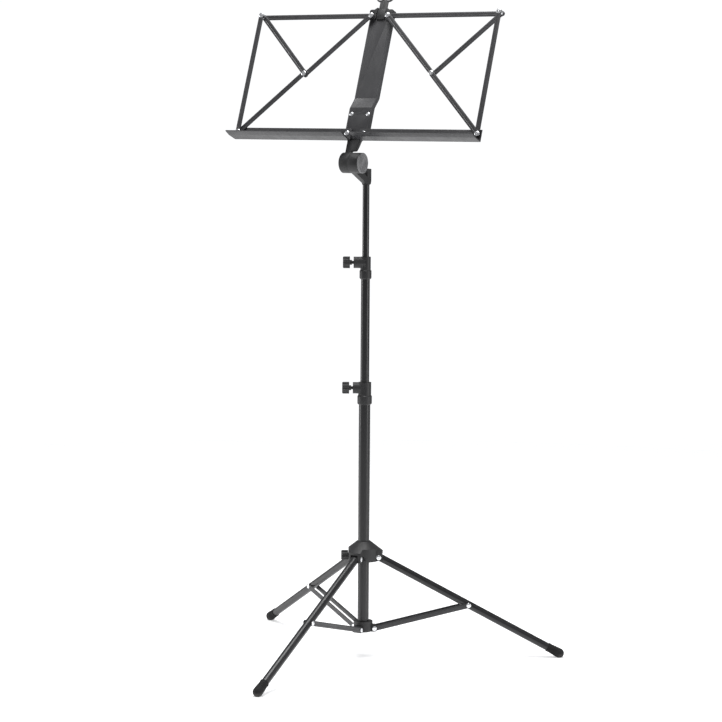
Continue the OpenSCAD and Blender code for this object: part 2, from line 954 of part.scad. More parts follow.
// angle ledge: flange with the pivots, plate, and a front part bent upwards
module ledge(side) {
    lip = 14;
    lip_rise = 3;
    overhang = 7;
    inner = 9;
    bottom = -ledge_drop;
    front = flange_n + ledge_depth;
    end_x = END[0] + overhang;
    color(black)
        on_side(side)
            difference() {
                union() {
                    translate([P2[0] - inner, bottom, flange_n])
                        cube([end_x - P2[0] + inner, flange_up - bottom, ledge_t]);
                    translate([P2[0] - inner, 0, 0])
                        rotate([90, 0, 90])
                            linear_extrude(end_x - P2[0] + inner)
                                polygon([[bottom, flange_n], [bottom + ledge_t, flange_n],
                                         [bottom + ledge_t, front - lip],
                                         [bottom + ledge_t + lip_rise, front],
                                         [bottom + lip_rise, front],
                                         [bottom, front - lip]]);
                }
                for (p = [P2, END])
                    translate([p[0], p[1], flange_n - 1])
                        cylinder(h = ledge_t + 2, r = p == END ? rivet_r : eye_r);
            }
}

module top_rail(side) {
    color(black)
        on_side(side)
            desk_strip(P1, CORNER, top_rail_n);
}

module side_rail(side) {
    color(black)
        on_side(side)
            desk_strip(END, CORNER, side_rail_n);
}

module upper_diagonal(side) {
    color(black)
        on_side(side)
            desk_strip(P1, MIDDLE, upper_diagonal_n);
}

module lower_diagonal(side) {
    color(black)
        on_side(side)
            desk_strip(END, MIDDLE, lower_diagonal_n);
}

module short_brace(side) {
    color(black)
        on_side(side)
            desk_strip(CORNER, MIDDLE, brace_n);
}

// rivet at the upper corner, with a spacer between brace and side rail
module corner_rivet(side) {
    color(zinc)
        on_side(side)
            translate([CORNER[0], CORNER[1], 0]) {
                rivet(top_rail_n, front_head_n);
                translate([0, 0, upper_diagonal_n])
                    cylinder(h = side_rail_n - pass_gap - upper_diagonal_n, r = head_r * 0.8);
            }
}

// rivet at the outer end of the ledge
module ledge_rivet(side) {
    color(zinc)
        on_side(side)
            translate([END[0], END[1], 0]) {
                rivet(flange_n, front_head_n, back_t = 0.8);
                translate([0, 0, lower_diagonal_n + strip_step])
                    cylinder(h = head_t - pass_gap, r = head_r * 0.8);
            }
}

// front head of the middle pivot, held by the lower diagonal
module middle_rivet(side) {
    color(zinc)
        on_side(side)
            translate([MIDDLE[0], MIDDLE[1], lower_diagonal_n]) {
                cylinder(h = strip_t, r = eye_r);
                translate([0, 0, strip_t])
                    rivet_head();
            }
}

// flush back end of the middle pivot, held by the short brace
module brace_rivet(side) {
    color(zinc)
        on_side(side)
            translate([MIDDLE[0], MIDDLE[1], brace_n])
                cylinder(h = strip_t, r = rivet_r);
}

lower_tube();
middle_tube();
upper_tube();
middle_bush();
upper_bush();
lower_clamp();
upper_clamp();
lower_thumb_screw();
upper_thumb_screw();
hub_thumb_screw();
leg_hub();
base_hub();
leg_hub_rivets();
base_hub_rivets();
for (i = [0 : 2]) {
    leg(i);
    leg_plug(i);
    foot(i);
    strut(i);
    strut_rivet(i);
}
tilt_socket();
tilt_arm();
tilt_cap();
tilt_bolt();
spine();
spine_pivots();
arm_rivets();
desk_head();
page_clip();
finger_loops();
clip_pin();
for (side = SIDES) {
    ledge(side);
    top_rail(side);
    side_rail(side);
    upper_diagonal(side);
    lower_diagonal(side);
    short_brace(side);
    corner_rivet(side);
    ledge_rivet(side);
    middle_rivet(side);
    brace_rivet(side);
}
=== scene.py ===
"""Looks of the folding music stand: strip desk, tilt joint, three-piece column, folding tripod."""
import json
import math

import bmesh
import bpy
from mathutils import Matrix, Vector

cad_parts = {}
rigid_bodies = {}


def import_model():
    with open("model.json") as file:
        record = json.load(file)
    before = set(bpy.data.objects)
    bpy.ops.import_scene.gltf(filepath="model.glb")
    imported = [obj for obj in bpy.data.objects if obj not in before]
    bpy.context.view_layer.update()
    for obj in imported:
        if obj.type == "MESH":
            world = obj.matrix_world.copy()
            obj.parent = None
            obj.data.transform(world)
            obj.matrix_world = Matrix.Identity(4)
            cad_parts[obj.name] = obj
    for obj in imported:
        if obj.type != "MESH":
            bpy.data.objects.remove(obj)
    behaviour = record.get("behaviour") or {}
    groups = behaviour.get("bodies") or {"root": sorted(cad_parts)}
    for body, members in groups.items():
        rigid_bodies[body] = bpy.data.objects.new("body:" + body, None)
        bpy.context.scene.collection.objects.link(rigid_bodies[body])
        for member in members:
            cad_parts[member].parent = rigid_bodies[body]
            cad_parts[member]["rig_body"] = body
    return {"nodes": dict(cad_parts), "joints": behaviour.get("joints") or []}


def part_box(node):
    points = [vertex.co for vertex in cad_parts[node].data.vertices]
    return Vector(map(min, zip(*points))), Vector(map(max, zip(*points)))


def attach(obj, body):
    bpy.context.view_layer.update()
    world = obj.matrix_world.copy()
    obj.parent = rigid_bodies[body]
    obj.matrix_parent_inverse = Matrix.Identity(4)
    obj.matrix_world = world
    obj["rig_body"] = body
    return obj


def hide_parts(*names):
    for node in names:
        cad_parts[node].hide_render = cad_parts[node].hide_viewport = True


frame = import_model()
NODES = frame["nodes"]
PIVOT = {j["name"]: Vector(j["pos_m"]) for j in frame["joints"] if j["type"] == "hinge"}
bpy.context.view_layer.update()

MM = 0.001
SIDES = ("left", "right")
# direction of each leg round the column, in degrees
LEGS = {"front": -90, "right": 30, "left": 150}

# ------------------------------------------------------------ local frames
DESK_LEAN = math.radians(20.5)
DESK = (
    Matrix.Translation((PIVOT["left_ledge_fold"] + PIVOT["right_ledge_fold"]) / 2)
    @ Matrix.Rotation(math.radians(90) - DESK_LEAN, 4, "X")
)


def on_desk(point):
    """A point of the model in the desk's frame: x across, y up the desk, z to the musician."""
    return DESK.inverted() @ point


def strip_frame(start, end):
    """Frame of a desk strip: x from its first pivot to its second, z to the musician."""
    a, b = on_desk(start), on_desk(end)
    turn = Matrix.Rotation(math.atan2(b.y - a.y, b.x - a.x), 4, "Z")
    return DESK @ Matrix.Translation((a.x, a.y, 0)) @ turn


def leg_plane(name):
    """A leg's upright plane: x out from the column, y up, z across the leg."""
    return Matrix.Rotation(math.radians(LEGS[name]), 4, "Z") @ Matrix.Rotation(math.pi / 2, 4, "X")


def leg_frame(name, start, end):
    """Frame in a leg's upright plane: x from start to end, z across the leg."""
    plane = leg_plane(name)
    a, b = plane.inverted() @ start, plane.inverted() @ end
    turn = Matrix.Rotation(math.atan2(b.y - a.y, b.x - a.x), 4, "Z")
    return plane @ Matrix.Translation((a.x, a.y, 0)) @ turn


def centre(node):
    """Middle of a node's box."""
    low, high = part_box(node)
    return (low + high) / 2


def extent(node, place, near=1.0):
    """Lowest and highest corner of a node in a local frame, of its part near the frame's z axis."""
    back = place.inverted()
    points = [back @ v.co for v in NODES[node].data.vertices]
    points = [p for p in points if math.hypot(p.x, p.y) < near]
    low = Vector([min(p[k] for p in points) for k in range(3)])
    high = Vector([max(p[k] for p in points) for k in range(3)])
    return low, high


# ------------------------------------------------------------ finishes
class Finish:
    """A node material that is built a step at a time."""

    def __init__(self, name):
        self.material = bpy.data.materials.new(name)
        self.material.use_nodes = True
        self.tree = self.material.node_tree
        self.shader = self.tree.nodes["Principled BSDF"]
        self.where = self.add("ShaderNodeTexCoord").outputs["Object"]

    def add(self, kind, **settings):
        made = self.tree.nodes.new(kind)
        for key, value in settings.items():
            setattr(made, key, value)
        return made

    def join(self, source, target):
        self.tree.links.new(source, target)

    def scaled(self, scale, turn=(0, 0, 0), shift=(0, 0, 0)):
        mapping = self.add("ShaderNodeMapping")
        mapping.inputs["Scale"].default_value = scale
        mapping.inputs["Rotation"].default_value = turn
        mapping.inputs["Location"].default_value = shift
        self.join(self.where, mapping.inputs["Vector"])
        return mapping.outputs["Vector"]

    def noise(self, scale, detail=3.0, roughness=0.5, source=None):
        made = self.add("ShaderNodeTexNoise")
        made.inputs["Scale"].default_value = scale
        made.inputs["Detail"].default_value = detail
        made.inputs["Roughness"].default_value = roughness
        self.join(source or self.where, made.inputs["Vector"])
        return made.outputs["Fac"]

    def ranged(self, source, low, high, to_low, to_high):
        made = self.add("ShaderNodeMapRange")
        limits = (("From Min", low), ("From Max", high), ("To Min", to_low), ("To Max", to_high))
        for key, value in limits:
            made.inputs[key].default_value = value
        self.join(source, made.inputs["Value"])
        return made.outputs["Result"]

    def maths(self, operation, a, b):
        made = self.add("ShaderNodeMath", operation=operation)
        for slot, value in zip(made.inputs, (a, b)):
            if isinstance(value, (int, float)):
                slot.default_value = value
            else:
                self.join(value, slot)
        return made.outputs["Value"]

    def blend(self, amount, first, second):
        made = self.add("ShaderNodeMix", data_type="RGBA")
        self.join(amount, made.inputs["Factor"])
        for slot, colour in ((made.inputs[6], first), (made.inputs[7], second)):
            if isinstance(colour, tuple):
                slot.default_value = (*colour, 1)
            else:
                self.join(colour, slot)
        return made.outputs[2]

    def edges(self, radius):
        """1 on outer edges, 0 on flat faces."""
        rounded = self.add("ShaderNodeBevel", samples=6)
        rounded.inputs["Radius"].default_value = radius
        flat = self.add("ShaderNodeNewGeometry").outputs["Normal"]
        dot = self.add("ShaderNodeVectorMath", operation="DOT_PRODUCT")
        self.join(rounded.outputs["Normal"], dot.inputs[0])
        self.join(flat, dot.inputs[1])
        return self.ranged(dot.outputs["Value"], 0.97, 0.8, 0.0, 1.0)

    def bump(self, height, distance, strength=1.0, under=None):
        made = self.add("ShaderNodeBump")
        made.inputs["Distance"].default_value = distance
        made.inputs["Strength"].default_value = strength
        self.join(height, made.inputs["Height"])
        if under:
            self.join(under, made.inputs["Normal"])
        return made.outputs["Normal"]

    def to(self, **sockets):
        for key, source in sockets.items():
            self.join(source, self.shader.inputs[key.replace("_", " ")])


def powder_coat(name, dark, light, rough_low, rough_high, worn):
    """Baked black paint over steel: fine orange peel, handling marks, thin paint on the edges."""
    coat = Finish(name)
    cloud = coat.noise(9, 4)
    smears = coat.noise(1, 5, 0.6, coat.scaled((60, 60, 9)))
    peel = coat.noise(950, 2)
    speck = coat.noise(2600, 1)
    paint = coat.blend(coat.ranged(cloud, 0.35, 0.68, 0, 1), dark, light)
    chips = coat.ranged(coat.noise(420, 4, 0.7), 0.5, 0.62, 0, 1)
    wear = coat.maths("MULTIPLY", coat.edges(0.5 * MM), chips)
    wear = coat.maths("MULTIPLY", wear, worn)
    coat.to(Base_Color=coat.blend(wear, paint, (0.16, 0.16, 0.17)))
    gloss = coat.maths("ADD", smears, coat.maths("MULTIPLY", speck, 0.35))
    coat.to(Roughness=coat.ranged(gloss, 0.4, 0.95, rough_low, rough_high))
    coat.to(Normal=coat.bump(speck, 0.03 * MM, 0.5, coat.bump(peel, 0.06 * MM, 0.6)))
    coat.shader.inputs["Coat Weight"].default_value = 0.12
    coat.shader.inputs["Coat Roughness"].default_value = 0.22
    return coat.material


def moulded(name, dark, light, rough_low, rough_high, grain):
    """Spark-textured plastic with faint flow clouds and polished edges."""
    plastic = Finish(name)
    cloud = plastic.noise(28, 4, 0.55)
    leather = plastic.add("ShaderNodeTexVoronoi", feature="SMOOTH_F1")
    leather.inputs["Scale"].default_value = 1300
    plastic.join(plastic.where, leather.inputs["Vector"])
    fine = plastic.noise(3200, 2)
    base = plastic.blend(plastic.ranged(cloud, 0.36, 0.66, 0, 1), dark, light)
    rubbed = plastic.maths("MULTIPLY", plastic.edges(0.7 * MM), 0.5)
    plastic.to(Base_Color=plastic.blend(rubbed, base, tuple(2.2 * c for c in light)))
    gloss = plastic.maths("ADD", cloud, plastic.maths("MULTIPLY", fine, 0.4))
    rough = plastic.ranged(gloss, 0.45, 0.95, rough_low, rough_high)
    plastic.to(Roughness=plastic.maths("SUBTRACT", rough, plastic.maths("MULTIPLY", rubbed, 0.12)))
    leather_bump = plastic.bump(leather.outputs["Distance"], grain, 0.5)
    plastic.to(Normal=plastic.bump(fine, 0.02 * MM, 0.5, leather_bump))
    return plastic.material


def bright_zinc():
    """Bright zinc plate: clear metal with spangle and fine rub marks."""
    zinc = Finish("bright zinc plate")
    cloud = zinc.noise(160, 4, 0.6)
    rubs = zinc.noise(1, 4, 0.7, zinc.scaled((3800, 500, 900), (0.5, 0.2, 0.7)))
    patch = zinc.ranged(cloud, 0.35, 0.7, 0, 1)
    zinc.to(Base_Color=zinc.blend(patch, (0.86, 0.87, 0.88), (0.70, 0.71, 0.74)))
    zinc.to(Roughness=zinc.ranged(zinc.maths("ADD", cloud, rubs), 0.7, 1.3, 0.16, 0.34))
    zinc.to(Normal=zinc.bump(rubs, 0.02 * MM, 0.35))
    zinc.shader.inputs["Metallic"].default_value = 1.0
    return zinc.material


def foot_rubber():
    """Matt black rubber with a fine grain, lighter grey in cloudy patches low on the foot."""
    rubber = Finish("matt foot rubber")
    cloud = rubber.noise(55, 5, 0.65)
    grain = rubber.noise(1800, 3)
    height = rubber.add("ShaderNodeSeparateXYZ")
    rubber.join(rubber.where, height.inputs[0])
    # lighter grey in cloudy patches, strongest at the floor and gone 9 mm up the foot
    low = rubber.ranged(height.outputs["Z"], 0.0, 0.009, 0.55, 0.0)
    lighter_low_patches = rubber.maths("MULTIPLY", low, rubber.ranged(cloud, 0.45, 0.6, 0, 1))
    base = rubber.blend(rubber.ranged(cloud, 0.35, 0.7, 0, 1), (0.005, 0.005, 0.005), (0.010, 0.010, 0.011))
    rubber.to(Base_Color=rubber.blend(lighter_low_patches, base, (0.12, 0.115, 0.105)))
    rubber.to(Roughness=rubber.ranged(grain, 0.35, 0.65, 0.62, 0.86))
    rubber.to(Normal=rubber.bump(grain, 0.05 * MM, 0.6))
    rubber.shader.inputs["Specular IOR Level"].default_value = 0.3
    return rubber.material


def ringed_cap(axis_point):
    """Turned grey cap: fine rings round the drum's axis."""
    cap = Finish("ringed drum cap")
    centred = cap.scaled((1, 1, 1), shift=(0, -axis_point.y, -axis_point.z))
    rings = cap.add("ShaderNodeTexWave", wave_type="RINGS", rings_direction="X")
    rings.inputs["Scale"].default_value = 220
    rings.inputs["Distortion"].default_value = 0.4
    cap.join(centred, rings.inputs["Vector"])
    cloud = cap.noise(70, 4)
    fine = cap.noise(2200, 2)
    base = cap.blend(cap.ranged(cloud, 0.35, 0.7, 0, 1), (0.15, 0.15, 0.155), (0.21, 0.21, 0.215))
    rubbed = cap.maths("MULTIPLY", cap.edges(0.6 * MM), 0.6)
    cap.to(Base_Color=cap.blend(rubbed, base, (0.32, 0.32, 0.33)))
    cap.to(Roughness=cap.ranged(cap.maths("ADD", cloud, fine), 0.7, 1.3, 0.3, 0.46))
    cap.to(Normal=cap.bump(fine, 0.02 * MM, 0.4, cap.bump(rings.outputs["Fac"], 0.05 * MM, 0.6)))
    return cap.material


FINISHES = {
    "black_tube": powder_coat(
        "black tube paint", (0.004, 0.004, 0.005), (0.007, 0.007, 0.008), 0.26, 0.42, worn=0.5
    ),
    "black_sheet": powder_coat(
        "black sheet paint", (0.022, 0.022, 0.024), (0.034, 0.034, 0.037), 0.32, 0.52, worn=0.8
    ),
    "black_plastic": moulded(
        "matt black moulding", (0.010, 0.010, 0.011), (0.018, 0.018, 0.019), 0.42, 0.62, grain=0.05 * MM
    ),
    "drum_cap": ringed_cap(PIVOT["desk_tilt"]),
    "rivet_zinc": bright_zinc(),
    "foot_rubber": foot_rubber(),
}


SHEET_WORDS = ("ledge", "rail", "diagonal", "brace", "strut")


def slot_of(node):
    """Material slot of a CAD node, by what the piece is made of."""
    if "rivet" in node or node in ("spine_pivots", "clip_pin", "tilt_bolt"):
        return "rivet_zinc"
    if node.endswith("_foot"):
        return "foot_rubber"
    if node == "tilt_cap":
        return "drum_cap"
    if node.endswith(("_tube", "_leg")):
        return "black_tube"
    if node in ("spine", "finger_loops") or any(word in node for word in SHEET_WORDS):
        return "black_sheet"
    return "black_plastic"


# ------------------------------------------------------------ making pieces
SMOOTH_BELOW = math.radians(38)
WELD = 0.002 * MM


def show(name, shape, node):
    """Turns a finished bmesh into a piece that stands for a CAD node."""
    bmesh.ops.recalc_face_normals(shape, faces=shape.faces)
    for face in shape.faces:
        face.smooth = True
    for edge in shape.edges:
        edge.smooth = len(edge.link_faces) == 2 and edge.calc_face_angle() < SMOOTH_BELOW
    mesh = bpy.data.meshes.new(name)
    shape.to_mesh(mesh)
    shape.free()
    piece = bpy.data.objects.new(name, mesh)
    bpy.context.scene.collection.objects.link(piece)
    mesh.materials.append(FINISHES[slot_of(node)])
    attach(piece, NODES[node]["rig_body"])
    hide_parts(node)


def sharp_edges(shape, angle):
    """Edges that bend by more than an angle in degrees."""
    limit = math.radians(angle)
    return [e for e in shape.edges if len(e.link_faces) == 2 and e.calc_face_angle() > limit]


def bevelled(shape, edges, width, segments=2):
    bmesh.ops.bevel(
        shape, geom=edges, offset=width, offset_type="OFFSET", segments=segments,
        profile=0.5, affect="EDGES", clamp_overlap=True, material=-1,
    )


def softened(node, width, suffix, angle=32, segments=2):
    """A copy of a node with its sharp edges rounded, as a mould or a press leaves them."""
    shape = bmesh.new()
    shape.from_mesh(NODES[node].data)
    bmesh.ops.remove_doubles(shape, verts=shape.verts, dist=WELD)
    bmesh.ops.dissolve_limit(
        shape, angle_limit=math.radians(0.6), verts=shape.verts, edges=shape.edges
    )
    bevelled(shape, sharp_edges(shape, angle), width, segments)
    show(f"{node}_{suffix}", shape, node)


def add_to(shape, part, place):
    """Puts a finished part into a piece, in a local frame."""
    part.transform(place)
    carrier = bpy.data.meshes.new("carrier")
    part.to_mesh(carrier)
    part.free()
    shape.from_mesh(carrier)
    bpy.data.meshes.remove(carrier)


def turned(shape, profile, place, steps=48, closed=False):
    """Spins a profile of (radius, height) points about the z axis of a local frame."""
    part = bmesh.new()
    points = [part.verts.new((r, 0, z)) for r, z in profile]
    pairs = list(zip(points, points[1:])) + ([(points[-1], points[0])] if closed else [])
    edges = [part.edges.new(pair) for pair in pairs]
    bmesh.ops.spin(
        part, geom=points + edges, cent=(0, 0, 0), axis=(0, 0, 1),
        angle=2 * math.pi, steps=steps, use_merge=True, use_duplicate=False,
    )
    bmesh.ops.remove_doubles(part, verts=part.verts, dist=WELD)
    add_to(shape, part, place)


def ring(shape, place, low, high, inner, outer, lip=0.15 * MM):
    """A plain ring or tube with rounded lips, round the z axis of a local frame."""
    profile = [
        (inner, low + lip), (inner + lip, low), (outer - lip, low), (outer, low + lip),
        (outer, high - lip), (outer - lip, high), (inner + lip, high), (inner, high - lip),
    ]
    turned(shape, profile, place, closed=True)


def dome(radius, height):
    """Half profile of a rivet head, from its rim to its crown with a small dimple."""
    rim, rise = 0.18, 7
    profile = [(radius, 0), (radius, rim * height)]
    for k in range(1, rise):
        a = k / rise * math.pi / 2
        profile.append((
            radius * (rim + (1 - rim) * math.cos(a)), height * (rim + (1 - rim) * math.sin(a)),
        ))
    return profile + [(radius * 0.2, height), (radius * 0.12, height * 0.86), (0, height * 0.8)]


def rivet(shape, place, low, high, shank, front, back):
    """A rivet on the z axis of a frame. A head is (radius, height), or None where it is flush."""
    flush = 0.15 * MM
    profile = [(0, low), (shank - flush, low), (shank, low + flush)]
    if back:
        profile = [(r, low + back[1] - z) for r, z in reversed(dome(*back))] + [(shank, low + back[1])]
    if front:
        profile += [(shank, high - front[1])] + [(r, high - front[1] + z) for r, z in dome(*front)]
    else:
        profile += [(shank, high - flush), (shank - flush, high), (0, high)]
    turned(shape, profile, place)


def strip(shape, place, low, high, groove=0.5 * MM):
    """A pressed strip along a frame's x, with round ends and a groove along its front."""
    half = (high.y - low.y) / 2
    straight = high.x - low.x - 2 * half
    groove_half, slope, start = 1.8 * MM, 0.5 * MM, 14 * MM
    segments = 32
    part = bmesh.new()
    bmesh.ops.create_circle(part, cap_ends=True, segments=segments, radius=half)
    bmesh.ops.rotate(part, verts=part.verts, matrix=Matrix.Rotation(math.pi / segments, 3, "Z"))
    bmesh.ops.scale(part, verts=part.verts, vec=(1, 1 / math.cos(math.pi / segments), 1))
    far_end = [v for v in part.verts if v.co.x > 0]
    bmesh.ops.translate(part, verts=far_end, vec=(straight, 0, 0))
    made = bmesh.ops.extrude_face_region(part, geom=list(part.faces))["geom"]
    lifted = [g for g in made if isinstance(g, bmesh.types.BMVert)]
    bmesh.ops.translate(part, verts=lifted, vec=(0, 0, high.z - low.z))
    bmesh.ops.holes_fill(part, edges=[e for e in part.edges if e.is_boundary], sides=0)
    bmesh.ops.recalc_face_normals(part, faces=part.faces)
    outline = sharp_edges(part, 60)
    face = max(part.faces, key=lambda f: f.calc_center_median().z)
    bmesh.ops.inset_region(part, faces=[face], thickness=half - groove_half)
    for v in face.verts:
        v.co.x += start - half if v.co.x < straight / 2 else half - start
    bmesh.ops.inset_region(part, faces=[face], thickness=slope, depth=-groove)
    bevelled(part, [e for e in outline if e.is_valid], 0.25 * MM)
    add_to(shape, part, place @ Matrix.Translation((low.x + half, (low.y + high.y) / 2, low.z)))


# ------------------------------------------------------------ column
UPRIGHT = Matrix.Identity(4)
TUBE_WALL = 1.2 * MM
TUBE_LIP = 0.35 * MM
for node in ("lower_tube", "middle_tube", "upper_tube"):
    low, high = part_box(node)
    tube = bmesh.new()
    radius = (high.x - low.x) / 2
    ring(tube, UPRIGHT, low.z, high.z, radius - TUBE_WALL, radius, TUBE_LIP)
    show(f"{node}_drawn", tube, node)
for node in ("lower_clamp", "upper_clamp"):
    softened(node, 0.8 * MM, "moulding", segments=3)
for node in ("lower_thumb_screw", "upper_thumb_screw", "hub_thumb_screw"):
    softened(node, 0.5 * MM, "moulding", angle=25)

# ------------------------------------------------------------ tripod
softened("leg_hub", 0.9 * MM, "moulding", segments=3)
softened("base_hub", 0.7 * MM, "moulding", segments=3)
HEAD_T = 1.2 * MM
SHANK = 2.5 * MM
STRUT_T = 1.5 * MM
MIRROR = Matrix.Scale(-1, 4, (0, 0, 1))
FULL_HEAD = (5 * MM, HEAD_T)
STRUT_HEAD = (4.5 * MM, HEAD_T)

for node, hinge, head in (
    ("leg_hub_rivets", "leg_hinge", FULL_HEAD), ("base_hub_rivets", "strut_hinge", STRUT_HEAD),
):
    rivets = bmesh.new()
    for leg in LEGS:
        place = Matrix.Translation(PIVOT[f"{leg}_{hinge}"]) @ leg_plane(leg)
        low, high = extent(node, place, 12 * MM)
        rivet(rivets, place, low.z, high.z, SHANK, head, head)
    show(f"{node}_domed", rivets, node)

for leg in LEGS:
    down = leg_frame(leg, PIVOT[f"{leg}_leg_hinge"], centre(f"{leg}_strut_rivet"))
    along = down @ Matrix.Rotation(math.pi / 2, 4, "Y")

    tube = bmesh.new()
    low, high = extent(f"{leg}_leg", along)
    ring(tube, along, low.z, high.z, high.y - TUBE_WALL, high.y, TUBE_LIP)
    show(f"{leg}_leg_drawn", tube, f"{leg}_leg")
    softened(f"{leg}_leg_plug", 0.5 * MM, "moulding")

    # rubber boot: rolled mouth, three ribs, round tip, worn flat where it stands
    low, high = extent(f"{leg}_foot", along)
    bore, sleeve, roll, tip = 7.5 * MM, 8.3 * MM, 8.8 * MM, 9.5 * MM
    mouth, ball = low.z, high.z - tip
    wall = [
        (bore, mouth + 0.6 * MM), (bore + 0.3 * MM, mouth), (sleeve, mouth),
        (roll, mouth + 0.6 * MM), (roll, mouth + 2.2 * MM), (sleeve, mouth + 2.8 * MM),
    ]
    for k in range(3):
        z = mouth + (7 + 4 * k) * MM
        swell = (8.5 + 0.25 * k) * MM
        waist = swell - 0.5 * MM
        wall += [
            (swell, z), (waist, z + 0.5 * MM), (waist, z + 1.1 * MM), (swell + 0.1 * MM, z + 1.6 * MM),
        ]
    for k in range(12):
        a = k / 12 * math.pi / 2
        wall.append((tip * math.cos(a), ball + tip * math.sin(a)))
    wall += [(0, ball + tip), (0, ball), (bore, ball)]
    boot = bmesh.new()
    turned(boot, wall, along, closed=True)
    cut = bmesh.ops.bisect_plane(
        boot, geom=boot.verts[:] + boot.edges[:] + boot.faces[:], plane_co=(0, 0, 0),
        plane_no=(0, 0, -1), clear_outer=True,
    )
    rim = [e for e in cut["geom_cut"] if isinstance(e, bmesh.types.BMEdge)]
    bmesh.ops.holes_fill(boot, edges=rim, sides=0)
    show(f"{leg}_foot_boot", boot, f"{leg}_foot")

    # strut: two pressed strips, one on each side of the leg
    strut = bmesh.new()
    rise = leg_frame(leg, PIVOT[f"{leg}_strut_hinge"], centre(f"{leg}_strut_rivet"))
    low, high = extent(f"{leg}_strut", rise)
    inner = Vector((low.x, low.y, high.z - STRUT_T))
    for place in (rise, rise @ MIRROR):
        strip(strut, place, inner, high, 0.4 * MM)
    show(f"{leg}_strut_strips", strut, f"{leg}_strut")

    ends = bmesh.new()
    joint = leg_frame(leg, centre(f"{leg}_strut_rivet"), PIVOT[f"{leg}_leg_hinge"])
    low, high = extent(f"{leg}_strut_rivet", joint)
    for place in (joint, joint @ MIRROR):
        rivet(ends, place, high.z - HEAD_T - STRUT_T, high.z, SHANK, STRUT_HEAD, None)
    show(f"{leg}_strut_rivet_domed", ends, f"{leg}_strut_rivet")

# ------------------------------------------------------------ tilt joint
softened("tilt_socket", 0.7 * MM, "moulding", segments=3)
softened("tilt_arm", 0.8 * MM, "moulding", segments=3)
DRUM = Matrix.Translation(PIVOT["desk_tilt"]) @ Matrix.Rotation(math.pi / 2, 4, "Y")
BOLT_END = 0.7 * MM
low, high = extent("tilt_cap", DRUM)
face, rim = high.z, high.y
bolt_hole, chamfer, round_over = 3 * MM, 0.3 * MM, 1.2 * MM
profile = [
    (0, face - BOLT_END), (bolt_hole, face - BOLT_END), (bolt_hole, low.z),
    (rim - chamfer, low.z), (rim, low.z + chamfer), (rim, face - round_over),
]
for k in range(1, 6):
    a = k / 5 * math.pi / 2
    profile.append((rim - round_over * (1 - math.cos(a)), face - round_over * (1 - math.sin(a))))
# rings cut in the cap's face: outer radius and depth in millimetres
for outer, depth in ((16.4, 0.4), (14, 0.8), (11.4, 0.4), (9, 0.8), (6.2, 0.4)):
    profile += [
        (outer * MM, face), ((outer - 0.25) * MM, face - depth * MM),
        ((outer - 0.85) * MM, face - depth * MM), ((outer - 1.1) * MM, face),
    ]
profile += [(3.4 * MM, face), (bolt_hole, face - 0.2 * MM), (0, face - 0.2 * MM)]
cap = bmesh.new()
turned(cap, profile, DRUM, steps=72, closed=True)
show("tilt_cap_ringed", cap, "tilt_cap")
softened("tilt_bolt", 0.3 * MM, "machined")

# ------------------------------------------------------------ desk
softened("spine", 0.5 * MM, "sheet", angle=20, segments=3)
softened("desk_head", 0.7 * MM, "moulding", segments=3)
softened("page_clip", 0.4 * MM, "moulding")
softened("finger_loops", 0.2 * MM, "wire", angle=60)
softened("clip_pin", 0.2 * MM, "machined")

SPACER_R = 4 * MM
SPACER_BORE = SHANK - 0.1 * MM


def desk_pivot(point):
    """Frame on a pivot of the desk, square to the desk."""
    at = on_desk(point)
    return DESK @ Matrix.Translation((at.x, at.y, 0))


pivots = bmesh.new()
for side in SIDES:
    place = desk_pivot(PIVOT[f"{side}_top_rail_fold"])
    low, high = extent("spine_pivots", place, 8 * MM)
    rivet(pivots, place, low.z, high.z, SHANK, FULL_HEAD, (3.5 * MM, HEAD_T))
    back, front = extent(f"{side}_short_brace", DESK)
    ring(pivots, place, back.z, front.z, SPACER_BORE, SPACER_R)
    place = desk_pivot(PIVOT[f"{side}_ledge_fold"])
    low, high = extent("spine_pivots", place, 8 * MM)
    rivet(pivots, place, low.z, high.z, SHANK, FULL_HEAD, FULL_HEAD)
    washer, washer_r = 10.5 * MM, 5 * MM
    ring(pivots, place, washer, washer + HEAD_T, SPACER_BORE, washer_r)
show("spine_pivots_domed", pivots, "spine_pivots")

fixings = bmesh.new()
ARM_RIVET_V = 40 * MM
for side in SIDES:
    across = on_desk(PIVOT[f"{side}_ledge_fold"]).x
    place = DESK @ Matrix.Translation((across, ARM_RIVET_V, 0))
    low, high = extent("arm_rivets", place, 8 * MM)
    rivet(fixings, place, low.z, high.z, SHANK, (4 * MM, HEAD_T), (4 * MM, 1.1 * MM))
show("arm_rivets_domed", fixings, "arm_rivets")

for side in SIDES:
    top, corner = PIVOT[f"{side}_top_rail_fold"], PIVOT[f"{side}_side_rail_fold"]
    end, middle = PIVOT[f"{side}_lower_diagonal_fold"], centre(f"{side}_middle_rivet")
    for node, start, finish in (
        ("top_rail", top, corner), ("side_rail", corner, end), ("upper_diagonal", top, middle),
        ("lower_diagonal", end, middle), ("short_brace", corner, middle),
    ):
        node = f"{side}_{node}"
        place = strip_frame(start, finish)
        bar = bmesh.new()
        strip(bar, place, *extent(node, place))
        show(f"{node}_strip", bar, node)
    softened(f"{side}_ledge", 0.6 * MM, "sheet", angle=10, segments=3)

    for node, point, front, back, spacer in (
        ("corner_rivet", corner, FULL_HEAD, FULL_HEAD, ("upper_diagonal", 9.5 * MM)),
        ("ledge_rivet", end, FULL_HEAD, (5 * MM, 0.8 * MM), None),
        ("middle_rivet", middle, FULL_HEAD, None, None),
        ("brace_rivet", middle, None, None, None),
    ):
        pin = bmesh.new()
        place = desk_pivot(point)
        low, high = extent(f"{side}_{node}", place)
        rivet(pin, place, low.z, high.z, SHANK, front, back)
        if spacer:
            layer, length = spacer
            base = extent(f"{side}_{layer}", DESK)[0].z
            ring(pin, place, base, base + length, SPACER_BORE, SPACER_R)
        show(f"{side}_{node}_domed", pin, f"{side}_{node}")

